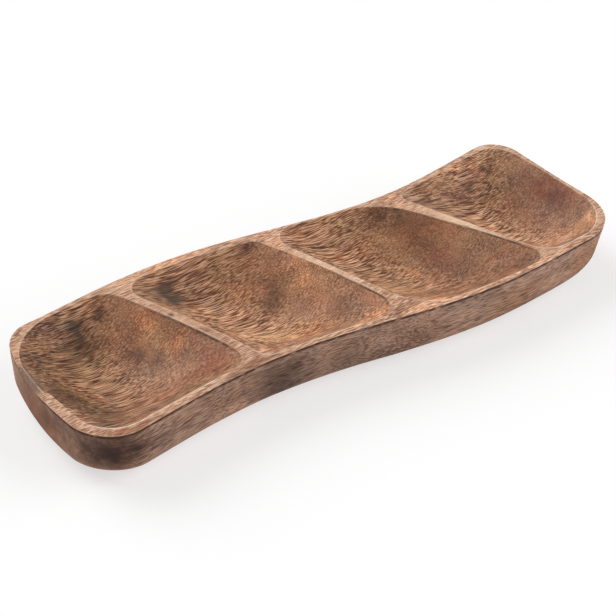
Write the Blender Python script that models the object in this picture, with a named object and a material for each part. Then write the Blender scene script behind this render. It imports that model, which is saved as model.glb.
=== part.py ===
"""Divided serving tray carved from one block of mango wood.

The plan is a long board whose two sides follow the same gentle S wave. Slanted dividers part its top into
scooped bowls. The rim and the dividers share one flat top, the bowls are hollowed out below it, and the
block's lower edge is rolled under to a flat base.

In plan, x runs along the tray and v runs across it, measured from the waved centreline. Units are metres.
The finished tray stands on z = 0 with the middle of its outline over the origin, and +X runs along it.
"""

import math
from dataclasses import dataclass

import bmesh
import bpy

# The block
LENGTH = 0.480
HEIGHT = 0.045
LEFT_WIDTH = 0.1423
RIGHT_WIDTH = 0.1576
FLARE_POWER = 5
SIDE_DRAFT = 0.0008
RIM_EASING = 0.0008

# The lower edge: how high it starts, and how far it is rolled under at the sides and at each end
ROLL_HEIGHT = 0.020
SIDE_ROLL = 0.020
LEFT_END_ROLL = 0.018
RIGHT_END_ROLL = 0.046

# The S wave that both sides follow
WAVE_SWING = 0.0087
WAVE_PITCH = 0.3617
WAVE_START = 0.0009
WAVE_LEAN = -0.021

# The corners of the block at its rim, and how much rounder they are at its base
FAR_LEFT_CORNER = 0.0194
NEAR_LEFT_CORNER = 0.0342
NEAR_RIGHT_CORNER = 0.0438
FAR_RIGHT_CORNER = 0.0279
LEFT_BASE_ROUNDING = 0.007
RIGHT_BASE_ROUNDING = 0.014

# The end faces: the left one is crowned, the right one slightly hollow, both fading out along the sides
LEFT_END_CROWN = 0.0107
RIGHT_END_HOLLOW = 0.0014
END_FADE_POWER = 6

# The rims at the two ends, which widen towards the corners
LEFT_RIM = 0.0067
LEFT_RIM_LEAN = -0.073
LEFT_RIM_WIDENING = 0.0054
RIGHT_RIM = 0.0043
RIGHT_RIM_LEAN = 0.013
RIGHT_RIM_WIDENING = 0.0032

# The scoop of every bowl
BOWL_DEPTH = 0.028
SCOOP_POWER = 2.1
ROUNDING_POWER = 3.5
RUN_OUT = 1.03
DEEPEST_CONTOUR = 0.14

# How finely the curves are divided
CORNER_STEPS = 9
SIDE_STEPS = 30
END_STEPS = 4
ROLL_STEPS = 6
BOWL_CORNER_STEPS = 8
BOWL_SIDE_STEPS = 7
BOWL_CONTOURS = 10

WOOD_COLOUR = (0.214, 0.105, 0.052, 1.0)
WOOD_ROUGHNESS = 0.62
SHARP_EDGE = math.radians(32.0)


@dataclass(frozen=True)
class Wall:
    """A wall that bounds a bowl, flush with the rim.

    x is where its middle crosses the centreline, lean is how far it moves along the tray for each metre
    towards the far side, and bow is how far its middle stands out beyond its ends. The widths are those
    at the tray's near and far sides, and waist is how much thinner its middle is than a straight taper.
    An end rim has no width, because its outer face is the block's own.
    """

    x: float
    lean: float
    bow: float
    near_width: float = 0.0
    far_width: float = 0.0
    waist: float = 0.0

    def face(self, v, side):
        """Return x of the left face (side -1) or the right face (side 1) at v across the tray."""
        across = v / (LEFT_WIDTH / 2)
        width = self.near_width + (self.far_width - self.near_width) * (across + 1) / 2
        width -= self.waist * (1 - across**2)
        return self.x + self.lean * v - self.bow * across**2 + side * width / 2


@dataclass(frozen=True)
class Bowl:
    """One scooped hollow: the rims beside it and its four corner radii in plan."""

    name: str
    far_rim: float
    near_rim: float
    far_left: float
    near_left: float
    near_right: float
    far_right: float


@dataclass(frozen=True)
class Level:
    """One horizontal outline of the block: its height and how far each side is drawn in."""

    height: float
    sides: float
    left_end: float
    right_end: float


WALLS = (
    Wall(x=-LENGTH / 2 + LEFT_RIM, lean=LEFT_RIM_LEAN, bow=-LEFT_RIM_WIDENING),
    Wall(x=-0.1173, lean=-0.356, bow=0.0034, near_width=0.0080, far_width=0.0068, waist=0.0007),
    Wall(x=0.0072, lean=-0.333, bow=0.0035, near_width=0.0095, far_width=0.0110, waist=0.0045),
    Wall(x=0.1297, lean=-0.422, bow=0.0030, near_width=0.0022, far_width=0.0186, waist=0.0047),
    Wall(x=LENGTH / 2 - RIGHT_RIM, lean=RIGHT_RIM_LEAN, bow=RIGHT_RIM_WIDENING),
)

BOWLS = (
    Bowl("first", 0.0040, 0.0066, far_left=0.035, near_left=0.028, near_right=0.014, far_right=0.021),
    Bowl("second", 0.0076, 0.0052, far_left=0.0155, near_left=0.0137, near_right=0.0193, far_right=0.0089),
    Bowl("third", 0.0020, 0.0050, far_left=0.021, near_left=0.040, near_right=0.010, far_right=0.0445),
    Bowl("fourth", 0.0060, 0.0073, far_left=0.0089, near_left=0.0285, near_right=0.040, far_right=0.023),
)


def clear_scene():
    """Remove every object of the open scene."""
    for item in list(bpy.data.objects):
        bpy.data.objects.remove(item, do_unlink=True)


def wave(x):
    """Return how far the centreline lies towards the far side at x."""
    return WAVE_LEAN * x - WAVE_SWING * math.sin(math.tau * (x - WAVE_START) / WAVE_PITCH)


def half_width(x):
    """Return half the block's width at x; it flares only towards the right end."""
    along = min(max(x / LENGTH + 0.5, 0.0), 1.0)
    return (LEFT_WIDTH + (RIGHT_WIDTH - LEFT_WIDTH) * along**FLARE_POWER) / 2


def corner_arc(before, corner, after, radius, steps):
    """Return the points of the arc that rounds one corner, as (x, v) pairs."""
    to_before = (before[0] - corner[0], before[1] - corner[1])
    to_after = (after[0] - corner[0], after[1] - corner[1])
    before_length = math.hypot(*to_before)
    after_length = math.hypot(*to_after)
    entry = (to_before[0] / before_length, to_before[1] / before_length)
    leave = (to_after[0] / after_length, to_after[1] / after_length)
    half_angle = math.acos(entry[0] * leave[0] + entry[1] * leave[1]) / 2
    reach = min(radius / math.tan(half_angle), 0.49 * before_length, 0.49 * after_length)
    fitted = reach * math.tan(half_angle)
    inward = (entry[0] + leave[0], entry[1] + leave[1])
    distance = fitted / math.sin(half_angle) / math.hypot(*inward)
    centre_x = corner[0] + inward[0] * distance
    centre_v = corner[1] + inward[1] * distance
    start = math.atan2(corner[1] + entry[1] * reach - centre_v, corner[0] + entry[0] * reach - centre_x)
    sweep = math.pi - 2 * half_angle
    angles = [start + sweep * step / steps for step in range(steps + 1)]
    return [(centre_x + fitted * math.cos(a), centre_v + fitted * math.sin(a)) for a in angles]


def rounded_outline(corners, radii, corner_steps, side_steps):
    """Return a four-sided outline with round corners, counter-clockwise, as (x, v) pairs.

    Outlines made with the same steps have the same number of points, so one can be joined to the next.
    """
    arcs = []
    for index, corner in enumerate(corners):
        before = corners[index - 1]
        after = corners[(index + 1) % len(corners)]
        arcs.append(corner_arc(before, corner, after, radii[index], corner_steps))
    points = []
    for index, arc in enumerate(arcs):
        points.extend(arc)
        start_x, start_v = arc[-1]
        end_x, end_v = arcs[(index + 1) % len(arcs)][0]
        steps = side_steps[index]
        for step in range(1, steps):
            share = step / steps
            points.append((start_x + (end_x - start_x) * share, start_v + (end_v - start_v) * share))
    return points


def block_ring(level):
    """Return the block's outline at one level, as points in space."""
    depth = 1 - level.height / HEIGHT
    reach = LENGTH / 2
    across = (LEFT_WIDTH + RIGHT_WIDTH) / 4 - level.sides
    corners = ((-reach, across), (-reach, -across), (reach, -across), (reach, across))
    radii = (
        FAR_LEFT_CORNER + LEFT_BASE_ROUNDING * depth,
        NEAR_LEFT_CORNER + LEFT_BASE_ROUNDING * depth,
        NEAR_RIGHT_CORNER + RIGHT_BASE_ROUNDING * depth,
        FAR_RIGHT_CORNER + RIGHT_BASE_ROUNDING * depth,
    )
    steps = (END_STEPS, SIDE_STEPS, END_STEPS, SIDE_STEPS)
    ring = []
    for plan_x, plan_v in rounded_outline(corners, radii, CORNER_STEPS, steps):
        share = plan_v / across
        if plan_x < 0:
            x = plan_x * (1 - level.left_end / reach)
            end_shift = LEFT_END_CROWN * share**2
        else:
            x = plan_x * (1 - level.right_end / reach)
            end_shift = -RIGHT_END_HOLLOW * (1 - share**2) ** 2
        y = wave(x) + share * (half_width(x) - level.sides)
        ring.append((x + end_shift * abs(plan_x / reach) ** END_FADE_POWER, y, level.height))
    return ring


def block_levels():
    """Return the levels that the block is lofted through, from its flat base to its rim."""
    levels = []
    for step in range(ROLL_STEPS + 1):
        angle = math.pi / 2 * step / ROLL_STEPS
        under = 1 - math.sin(angle)
        height = ROLL_HEIGHT * (1 - math.cos(angle))
        levels.append(
            Level(height, SIDE_DRAFT + SIDE_ROLL * under, LEFT_END_ROLL * under, RIGHT_END_ROLL * under)
        )
    levels.append(Level(HEIGHT - RIM_EASING, 0.0, 0.0, 0.0))
    levels.append(Level(HEIGHT, RIM_EASING, RIM_EASING, RIM_EASING))
    return levels


def bowl_corner(wall, side, bowl, far):
    """Return where a wall's face meets the far or the near rim, in plan."""
    v = 0.0
    for _ in range(5):
        edge = half_width(wall.face(v, side))
        v = edge - bowl.far_rim if far else bowl.near_rim - edge
    return wall.face(v, side), v


def bowl_outline(bowl, left_wall, right_wall):
    """Return a bowl's outline at the rim with its middle and its two half spans, all in plan."""
    far_left = bowl_corner(left_wall, 1, bowl, True)
    near_left = bowl_corner(left_wall, 1, bowl, False)
    near_right = bowl_corner(right_wall, -1, bowl, False)
    far_right = bowl_corner(right_wall, -1, bowl, True)
    corners = (far_left, near_left, near_right, far_right)
    radii = (bowl.far_left, bowl.near_left, bowl.near_right, bowl.far_right)
    steps = (BOWL_SIDE_STEPS,) * len(corners)
    points = []
    for x, v in rounded_outline(corners, radii, BOWL_CORNER_STEPS, steps):
        left_share = (v - near_left[1]) / (far_left[1] - near_left[1])
        right_share = (v - near_right[1]) / (far_right[1] - near_right[1])
        left_chord = near_left[0] + (far_left[0] - near_left[0]) * left_share
        right_chord = near_right[0] + (far_right[0] - near_right[0]) * right_share
        along = (x - left_chord) / (right_chord - left_chord)
        left_bow = left_wall.face(v, 1) - left_chord
        right_bow = right_wall.face(v, -1) - right_chord
        points.append((x + left_bow * (1 - along) + right_bow * along, v))
    middle = [sum(corner[axis] for corner in corners) / 4 for axis in (0, 1)]
    along_span = [
        (near_right[axis] + far_right[axis] - near_left[axis] - far_left[axis]) / 4 for axis in (0, 1)
    ]
    across_span = [
        (far_left[axis] + far_right[axis] - near_left[axis] - near_right[axis]) / 4 for axis in (0, 1)
    ]
    return points, middle, along_span, across_span


def bowl_rings(index):
    """Return the rings of a bowl's scoop, from its deepest contour until it runs out above the rim.

    The outline is followed at the rim. Deeper contours are drawn in towards an ellipse that fits between
    the same four walls, so the corners are scooped as round as a carver's gouge leaves them.
    """
    outline, middle, along, across = bowl_outline(BOWLS[index], WALLS[index], WALLS[index + 1])
    area = along[0] * across[1] - along[1] * across[0]
    rings = []
    for step in range(BOWL_CONTOURS):
        rise = math.sin(math.pi / 2 * step / (BOWL_CONTOURS - 1))
        shrink = DEEPEST_CONTOUR + (RUN_OUT - DEEPEST_CONTOUR) * rise
        roundness = 1 - min(shrink, 1.0) ** ROUNDING_POWER
        height = HEIGHT - BOWL_DEPTH * (1 - shrink**SCOOP_POWER)
        ring = []
        for x, v in outline:
            reach_x, reach_v = x - middle[0], v - middle[1]
            spans = math.hypot(
                (reach_x * across[1] - reach_v * across[0]) / area,
                (reach_v * along[0] - reach_x * along[1]) / area,
            )
            scale = shrink * (1 - roundness + roundness / spans)
            ring_x = middle[0] + reach_x * scale
            ring.append((ring_x, wave(ring_x) + middle[1] + reach_v * scale, height))
        rings.append(ring)
    return rings


def loft(name, rings):
    """Join rings of points, bottom first, into one closed mesh object with a flat cap at each end."""
    shape = bmesh.new()
    rows = [[shape.verts.new(point) for point in ring] for ring in rings]
    for lower, upper in zip(rows, rows[1:]):
        for index in range(len(lower)):
            following = (index + 1) % len(lower)
            shape.faces.new((lower[index], lower[following], upper[following], upper[index]))
    shape.faces.new(reversed(rows[0]))
    shape.faces.new(rows[-1])
    mesh = bpy.data.meshes.new(name)
    shape.to_mesh(mesh)
    shape.free()
    piece = bpy.data.objects.new(name, mesh)
    bpy.context.scene.collection.objects.link(piece)
    return piece


def wood():
    """Return the oiled mango wood that the block is made of."""
    material = bpy.data.materials.new("oiled_mango_wood")
    material.use_nodes = True
    shader = material.node_tree.nodes["Principled BSDF"]
    shader.inputs["Base Color"].default_value = WOOD_COLOUR
    shader.inputs["Roughness"].default_value = WOOD_ROUGHNESS
    shader.inputs["Metallic"].default_value = 0.0
    return material


def make_block():
    """Loft the uncarved block, with the middle of its outline over the origin."""
    rings = [block_ring(level) for level in block_levels()]
    block = loft("carved_body", rings)
    block.data.materials.append(wood())
    along = [point[0] for ring in rings for point in ring]
    across = [point[1] for ring in rings for point in ring]
    block.location = (-(min(along) + max(along)) / 2, -(min(across) + max(across)) / 2, 0.0)
    return block


def carve_bowl(block, index):
    """Hollow one bowl out of the block with its scoop."""
    scoop = loft(BOWLS[index].name + "_bowl_scoop", bowl_rings(index))
    scoop.parent = block
    scoop.hide_render = True
    scoop.display_type = "WIRE"
    cut = block.modifiers.new(scoop.name, "BOOLEAN")
    cut.operation = "DIFFERENCE"
    cut.solver = "EXACT"
    cut.object = scoop


def main():
    """Build the tray."""
    clear_scene()
    block = make_block()
    for index in range(len(BOWLS)):
        carve_bowl(block, index)
    block.data.shade_smooth()
    block.data.set_sharp_from_angle(angle=SHARP_EDGE)


main()
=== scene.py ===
"""Looks of a divided serving tray that is carved from one block of mango wood.

The tray stands on z = 0 and +X runs along it. In plan, x runs along the tray and v runs across it, measured
from its waved centreline. Units are metres, and a size in millimetres says so in its name.
"""

import logging
import math
from dataclasses import dataclass, field, replace
from enum import Enum

import bmesh
import bpy
from mathutils import Matrix, Vector, geometry, kdtree, noise


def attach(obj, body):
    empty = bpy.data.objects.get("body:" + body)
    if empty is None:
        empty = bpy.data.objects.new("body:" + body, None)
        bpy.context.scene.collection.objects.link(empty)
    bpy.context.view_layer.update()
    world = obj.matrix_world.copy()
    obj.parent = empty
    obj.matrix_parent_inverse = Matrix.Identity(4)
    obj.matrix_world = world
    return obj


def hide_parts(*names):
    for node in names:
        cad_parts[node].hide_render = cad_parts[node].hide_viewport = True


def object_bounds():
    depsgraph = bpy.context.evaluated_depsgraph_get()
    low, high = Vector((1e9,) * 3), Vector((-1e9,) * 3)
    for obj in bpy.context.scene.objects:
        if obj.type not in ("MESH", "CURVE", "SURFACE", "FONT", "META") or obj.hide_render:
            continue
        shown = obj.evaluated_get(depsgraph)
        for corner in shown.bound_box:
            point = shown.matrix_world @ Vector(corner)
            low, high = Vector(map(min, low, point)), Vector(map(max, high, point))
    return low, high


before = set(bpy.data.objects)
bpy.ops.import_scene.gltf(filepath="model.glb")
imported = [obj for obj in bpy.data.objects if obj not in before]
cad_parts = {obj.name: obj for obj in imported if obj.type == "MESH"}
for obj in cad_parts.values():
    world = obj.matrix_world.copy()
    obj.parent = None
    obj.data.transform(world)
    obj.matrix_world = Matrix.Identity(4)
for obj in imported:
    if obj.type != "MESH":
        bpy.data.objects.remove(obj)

LOG = logging.getLogger("tray")
CAD_BOX = [list(corner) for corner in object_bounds()]

WHITE = (1.0, 1.0, 1.0, 1.0)

# Edge marks: bare wood, a painted highlight along the crests and painted shade in the grooves
BARED = "bared"
CREST_HIGHLIGHT = "crest"
GROOVE_SHADE = "groove"
MARKS = (BARED, CREST_HIGHLIGHT, GROOVE_SHADE)

# The share of a side that the arc at one of its ends may take
CORNER_ROOM = 0.49
# How long a corner's arc is for each metre of its radius, about
ARC_PER_RADIUS = 1.6
LEAST_ARC_STEPS = 6
LEAST_SIDE_STEPS = 2

Plan = tuple[float, float]
Span = tuple[float, float]
Ring = list[bmesh.types.BMVert]
Tree = bpy.types.NodeTree
Socket = bpy.types.NodeSocket


class Surface(Enum):
    """The kinds of cut surface on the block, in the order of the mesh's material slots."""

    TOP = 0
    SIDE = 1
    BASE = 2


def linear(hex_colour: str) -> tuple[float, float, float, float]:
    """Turn an sRGB colour into linear values.

    Args:
        hex_colour: The colour as six hex digits.

    Returns:
        Its linear red, green and blue, and an alpha of 1.
    """
    channels = []
    for start in (0, 2, 4):
        value = int(hex_colour[start : start + 2], 16) / 255
        channels.append(value / 12.92 if value <= 0.04045 else ((value + 0.055) / 1.055) ** 2.4)
    return (channels[0], channels[1], channels[2], 1.0)


def add_node(tree: Tree, kind: str, feeds: dict | None = None, **settings) -> bpy.types.Node:
    """Add a node with its settings and links.

    Args:
        tree: The node tree it goes into.
        kind: The node's type name, without ShaderNode before it.
        feeds: For each input, by name or number, what is linked to it, a socket or a node's first output, or
            its plain value.
        settings: The node's own properties.

    Returns:
        The new node.
    """
    node = tree.nodes.new("ShaderNode" + kind)
    for name, value in settings.items():
        setattr(node, name, value)
    for name, source in (feeds or {}).items():
        if isinstance(source, bpy.types.Node):
            source = source.outputs[0]
        if isinstance(source, Socket):
            tree.links.new(source, node.inputs[name])
        else:
            node.inputs[name].default_value = source
    return node


def smooth(share: float) -> float:
    """Return a share that is kept between 0 and 1 and eased at both."""
    share = min(1.0, max(0.0, share))
    return share * share * (3 - 2 * share)


def rise(value: float, span: Span) -> float:
    """Return 0 before a span and 1 beyond it, eased in it; a span that runs down gives a fall."""
    return smooth((value - span[0]) / (span[1] - span[0]))


def bump(place: float, middle: float, reach: float) -> float:
    """Return 1 at the middle and, eased, 0 beyond the reach on both sides of it."""
    return smooth(1 - abs(place - middle) / reach)


def corner_arc(before: Plan, corner: Plan, after: Plan, radius: float, steps: int) -> list[Plan]:
    """Round one corner of an outline.

    Args:
        before: The corner before it.
        corner: The corner that is rounded.
        after: The corner after it.
        radius: The arc's radius, made smaller where the two sides are too short for it.
        steps: How many straight pieces the arc has.

    Returns:
        The arc's points.
    """
    entry = (Vector(before) - Vector(corner)).normalized()
    leave = (Vector(after) - Vector(corner)).normalized()
    shortest = min(math.dist(before, corner), math.dist(after, corner))
    half_angle = entry.angle(leave) / 2
    reach = min(radius / math.tan(half_angle), CORNER_ROOM * shortest)
    fitted = reach * math.tan(half_angle)
    centre = Vector(corner) + (entry + leave).normalized() * (fitted / math.sin(half_angle))
    spoke = Vector(corner) + entry * reach - centre
    start = math.atan2(spoke.y, spoke.x)
    sweep = math.pi - 2 * half_angle
    angles = [start + sweep * step / steps for step in range(steps + 1)]
    return [(centre.x + fitted * math.cos(angle), centre.y + fitted * math.sin(angle)) for angle in angles]


def outline_steps(corners: list[Plan], radii: list[float], pitch: float) -> list[tuple[int, int]]:
    """Count the straight pieces that a rounded outline needs.

    Args:
        corners: The sharp corners.
        radii: The radius at each corner.
        pitch: How long the pieces are, about.

    Returns:
        For each corner, the pieces of its arc and of the side after it.
    """
    steps = []
    for index, corner in enumerate(corners):
        after = (index + 1) % len(corners)
        side = math.dist(corner, corners[after]) - ARC_PER_RADIUS / 2 * (radii[index] + radii[after])
        arc_steps = max(LEAST_ARC_STEPS, round(ARC_PER_RADIUS * radii[index] / pitch))
        steps.append((arc_steps, max(LEAST_SIDE_STEPS, round(side / pitch))))
    return steps


def rounded_outline(corners: list[Plan], radii: list[float], steps: list[tuple[int, int]]) -> list[Plan]:
    """Make an outline with round corners, counter-clockwise.

    Args:
        corners: The sharp corners.
        radii: The radius at each corner.
        steps: For each corner, the straight pieces of its arc and of the side after it.

    Returns:
        The outline's points.
    """
    arcs = []
    for index, corner in enumerate(corners):
        after = corners[(index + 1) % len(corners)]
        arcs.append(corner_arc(corners[index - 1], corner, after, radii[index], steps[index][0]))
    points = []
    for index, arc in enumerate(arcs):
        points.extend(arc)
        start = Vector(arc[-1])
        end = Vector(arcs[(index + 1) % len(arcs)][0])
        count = steps[index][1]
        points.extend(tuple(start.lerp(end, step / count)) for step in range(1, count))
    return points


def inside(point: Plan, outline: list[Plan]) -> bool:
    """Say whether a point lies inside an outline.

    Args:
        point: The point.
        outline: The outline's points in order.

    Returns:
        True where a line from the point crosses the outline an odd number of times.
    """
    crossings = 0
    for (x1, y1), (x2, y2) in zip(outline, outline[1:] + outline[:1]):
        if (y1 > point[1]) != (y2 > point[1]):
            crossings += point[0] < x1 + (point[1] - y1) / (y2 - y1) * (x2 - x1)
    return crossings % 2 == 1


@dataclass
class Skin:
    """A closed surface that is sewn together from strips, fans and flat fills.

    A fill's own vertices keep a gap from its rings, in pitches of its net. Points within the weld are one.
    """

    mesh: bmesh.types.BMesh = field(default_factory=bmesh.new)
    border_gap: float = 0.6
    weld: float = 1e-7

    def __post_init__(self) -> None:
        """Add the layers that mark the edges: bare wood, a painted highlight on the crests and painted shade
        in the grooves.
        """
        for layer in MARKS:
            self.mesh.verts.layers.float.new(layer)

    def ring(self, points: list[Vector], marks: dict[str, list[float]] | None = None) -> Ring:
        """Add a row of vertices at the points.

        Args:
            points: Where the vertices go.
            marks: For each layer that isn't left at 0, its values at the points.

        Returns:
            The vertices.
        """
        row = [self.mesh.verts.new(point) for point in points]
        for layer, values in (marks or {}).items():
            slot = self.mesh.verts.layers.float[layer]
            for vertex, value in zip(row, values):
                vertex[slot] = value
        return row

    def strip(self, first: Ring, second: Ring, surface: Surface) -> None:
        """Join two rings of as many vertices with faces.

        Args:
            first: One ring.
            second: The other ring.
            surface: The surface that the faces belong to.
        """
        for index in range(len(first)):
            following = (index + 1) % len(first)
            corners = (first[index], first[following], second[following], second[index])
            self.mesh.faces.new(corners).material_index = surface.value

    def fan(self, ring: Ring, tip: Vector, surface: Surface) -> None:
        """Close a ring with triangles that meet at a tip.

        Args:
            ring: The ring.
            tip: Where the triangles meet.
            surface: The surface that they belong to.
        """
        centre = self.mesh.verts.new(tip)
        for index in range(len(ring)):
            corners = (ring[index], ring[(index + 1) % len(ring)], centre)
            self.mesh.faces.new(corners).material_index = surface.value

    def fill(
        self,
        outer: Ring,
        holes: list[Ring],
        pitch: float,
        surface: Surface,
        seeds: list[Vector] | None = None,
    ) -> None:
        """Fill the level space between a ring and the holes in it with an even net of triangles.

        Args:
            outer: The ring round the space.
            holes: The rings that are left open.
            pitch: How far apart the net's own vertices are.
            surface: The surface that the faces belong to.
            seeds: Points that the net has to have.
        """
        rings = [outer] + holes
        outlines = [[(vertex.co.x, vertex.co.y) for vertex in ring] for ring in rings]
        vertices = [vertex for ring in rings for vertex in ring]
        edges = []
        for ring in rings:
            first = len(edges)
            count = len(ring)
            edges.extend((first + index, first + (index + 1) % count) for index in range(count))
        seeds = seeds or []
        vertices += self.ring(seeds, {BARED: [1.0] * len(seeds)})
        net = self.net(vertices, outlines, pitch)
        vertices += self.ring(net, {BARED: [1.0] * len(net)})
        flat = [vertex.co.xy for vertex in vertices]
        for triangle in geometry.delaunay_2d_cdt(flat, edges, [], 0, self.weld)[2]:
            corners = [vertices[index] for index in triangle]
            middle = sum((vertex.co for vertex in corners), Vector()) / 3
            if self.is_solid(middle, outlines):
                self.mesh.faces.new(corners).material_index = surface.value

    def net(self, fixed: Ring, outlines: list[list[Plan]], pitch: float) -> list[Vector]:
        """Lay an even net of points between outlines.

        Args:
            fixed: The vertices that the net keeps clear of, all at one level.
            outlines: The outline round the space and those of the holes in it.
            pitch: How far apart the points are.

        Returns:
            The net's points.
        """
        border = kdtree.KDTree(len(fixed))
        for index, vertex in enumerate(fixed):
            border.insert(vertex.co, index)
        border.balance()
        lowest = [min(point[axis] for point in outlines[0]) for axis in (0, 1)]
        highest = [max(point[axis] for point in outlines[0]) for axis in (0, 1)]
        spots = []
        for row in range(int((highest[1] - lowest[1]) / pitch)):
            for column in range(int((highest[0] - lowest[0]) / pitch)):
                x = lowest[0] + (column + 0.5 * (row % 2)) * pitch
                spot = Vector((x, lowest[1] + (row + 0.5) * pitch, fixed[0].co.z))
                if border.find(spot)[2] > self.border_gap * pitch and self.is_solid(spot, outlines):
                    spots.append(spot)
        return spots

    @staticmethod
    def is_solid(spot: Vector, outlines: list[list[Plan]]) -> bool:
        """Say whether a spot lies inside the first outline and outside the others."""
        point = (spot.x, spot.y)
        return inside(point, outlines[0]) and not any(inside(point, hole) for hole in outlines[1:])

    def to_object(self, name: str) -> bpy.types.Object:
        """Turn the skin into a smooth-shaded object.

        Args:
            name: The object's name.

        Returns:
            The object.
        """
        bmesh.ops.recalc_face_normals(self.mesh, faces=self.mesh.faces)
        data = bpy.data.meshes.new(name)
        self.mesh.to_mesh(data)
        self.mesh.free()
        data.shade_smooth()
        piece = bpy.data.objects.new(name, data)
        bpy.context.scene.collection.objects.link(piece)
        return piece


@dataclass(frozen=True)
class Level:
    """One horizontal outline of the board: its height, how far each side is drawn in, and its edge marks."""

    height: float
    sides: float
    left_end: float
    right_end: float
    bared: float = 0.0
    crest: float = 0.0
    groove: float = 0.0


@dataclass(frozen=True)
class Board:
    """The uncarved block: a long board with an S wave, round corners and a rolled lower edge.

    A groove row is a level's place in the groove under the rim, as a share of its reach, and how deep the
    groove and the painted shade in it are there. An easing row is a turn of the rim's eased edge in degrees,
    how bare the wood is there and how strong the painted highlight on it is. A guard row lies on the rim, so
    many easings inside its outer edge.
    """

    length: float = 0.480
    height: float = 0.045
    left_width: float = 0.1423
    right_width: float = 0.1576
    flare_power: float = 5
    side_draft: float = 0.0008
    rim_easing: float = 0.0005
    groove_reach: float = 0.0027
    groove_depth: float = 0.00012
    groove_rows: tuple[Span, ...] = ((0.3, 0.6), (0.55, 1.0), (0.8, 1.0), (0.97, 0.5))
    easing_rows: tuple[tuple[float, float, float], ...] = (
        (15, 0.6, 0.0),
        (45, 1.0, 0.1),
        (70, 1.0, 0.3),
        (90, 1.0, 0.2),
    )
    guard_rows: tuple[float, ...] = (1.3, 1.7)
    roll_height: float = 0.020
    side_roll: float = 0.020
    left_end_roll: float = 0.018
    right_end_roll: float = 0.046
    wave_swing: float = 0.0087
    wave_pitch: float = 0.3617
    wave_start: float = 0.0009
    wave_lean: float = -0.021
    corner_radii: tuple[float, float, float, float] = (0.0194, 0.0342, 0.0438, 0.0279)
    base_rounding: tuple[float, float, float, float] = (0.007, 0.007, 0.014, 0.014)
    left_end_crown: float = 0.0107
    right_end_hollow: float = 0.0014
    end_fade_power: float = 6
    pitch: float = 0.0026
    roll_steps: int = 14
    wall_steps: int = 7

    def wave(self, x: float) -> float:
        """Return how far the centreline lies towards the far side at x."""
        turn = math.tau * (x - self.wave_start) / self.wave_pitch
        return self.wave_lean * x - self.wave_swing * math.sin(turn)

    def half_width(self, x: float) -> float:
        """Return half the board's width at x; it flares only towards the right end."""
        along = min(max(x / self.length + 0.5, 0.0), 1.0)
        return (self.left_width + (self.right_width - self.left_width) * along**self.flare_power) / 2

    def ring(self, level: Level) -> list[Vector]:
        """Return the board's outline at one level, bent into its wave.

        Args:
            level: The height, and how far the sides are drawn in there.

        Returns:
            The ring's points in space.
        """
        depth = 1 - level.height / self.height
        reach = self.length / 2
        across = (self.left_width + self.right_width) / 4
        corners = [(-reach, across), (-reach, -across), (reach, -across), (reach, across)]
        steps = outline_steps(corners, list(self.corner_radii), self.pitch)
        radii = [radius + extra * depth for radius, extra in zip(self.corner_radii, self.base_rounding)]
        points = []
        for plan_x, plan_v in rounded_outline(corners, radii, steps):
            share = plan_v / across
            left = plan_x < 0
            end = abs(plan_x) / reach
            inward = level.left_end if left else level.right_end
            crown = self.left_end_crown * share**2 if left else -self.right_end_hollow * (1 - share**2) ** 2
            x = plan_x * (1 - inward / reach)
            y = self.wave(x) + share * (self.half_width(x) - level.sides)
            points.append(Vector((x + crown * end**self.end_fade_power, y, level.height)))
        return points

    def levels(self) -> list[Level]:
        """Work out the levels of the outer face, from the flat base up to the eased edge of the rim.

        Returns:
            The levels. The easing rows and the guard rows come last and belong to the top.
        """
        levels = []
        for step in range(self.roll_steps + 1):
            angle = math.pi / 2 * step / self.roll_steps
            under = 1 - math.sin(angle)
            height = self.roll_height * (1 - math.cos(angle))
            sides = self.side_draft + self.side_roll * under
            levels.append(Level(height, sides, self.left_end_roll * under, self.right_end_roll * under))
        top = self.height - self.rim_easing
        lowest_line = top - self.groove_reach
        for step in range(1, self.wall_steps + 1):
            share = step / self.wall_steps
            height = self.roll_height + (lowest_line - self.roll_height) * share
            levels.append(Level(height, self.side_draft * (1 - share), 0.0, 0.0))
        for share, groove in self.groove_rows:
            inset = self.groove_depth * groove
            levels.append(Level(lowest_line + self.groove_reach * share, inset, inset, inset, groove=groove))
        for turn, bared, crest in self.easing_rows:
            angle = math.radians(turn)
            inset = self.rim_easing * (1 - math.cos(angle))
            height = top + self.rim_easing * math.sin(angle)
            levels.append(Level(height, inset, inset, inset, bared=bared, crest=crest))
        for guard in self.guard_rows:
            inset = self.rim_easing * guard
            levels.append(Level(self.height, inset, inset, inset, bared=1.0))
        return levels


@dataclass(frozen=True)
class Wall:
    """A wall beside a bowl, flush with the rim.

    x is where its middle crosses the centreline, lean is how far it moves along the tray for each metre
    towards the far side, and bow is how far its middle stands out beyond its ends. The widths are those
    at the tray's near and far sides, and waist is how much thinner its middle is than a straight taper.
    An end rim has no width, because its outer face is the board's own.
    """

    x: float
    lean: float
    bow: float
    near_width: float = 0.0
    far_width: float = 0.0
    waist: float = 0.0

    def width(self, board: Board, v: float) -> float:
        """Work out how thick the wall is, measured along the tray.

        Args:
            board: The board that it is carved from.
            v: The place across the tray.

        Returns:
            Its thickness there.
        """
        across = v / (board.left_width / 2)
        taper = self.near_width + (self.far_width - self.near_width) * (across + 1) / 2
        return taper - self.waist * (1 - across**2)

    def face(self, board: Board, v: float, side: int) -> float:
        """Return x of the left face (side -1) or the right face (side 1) at v across the tray."""
        across = v / (board.left_width / 2)
        return self.x + self.lean * v - self.bow * across**2 + side * self.width(board, v) / 2


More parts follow.
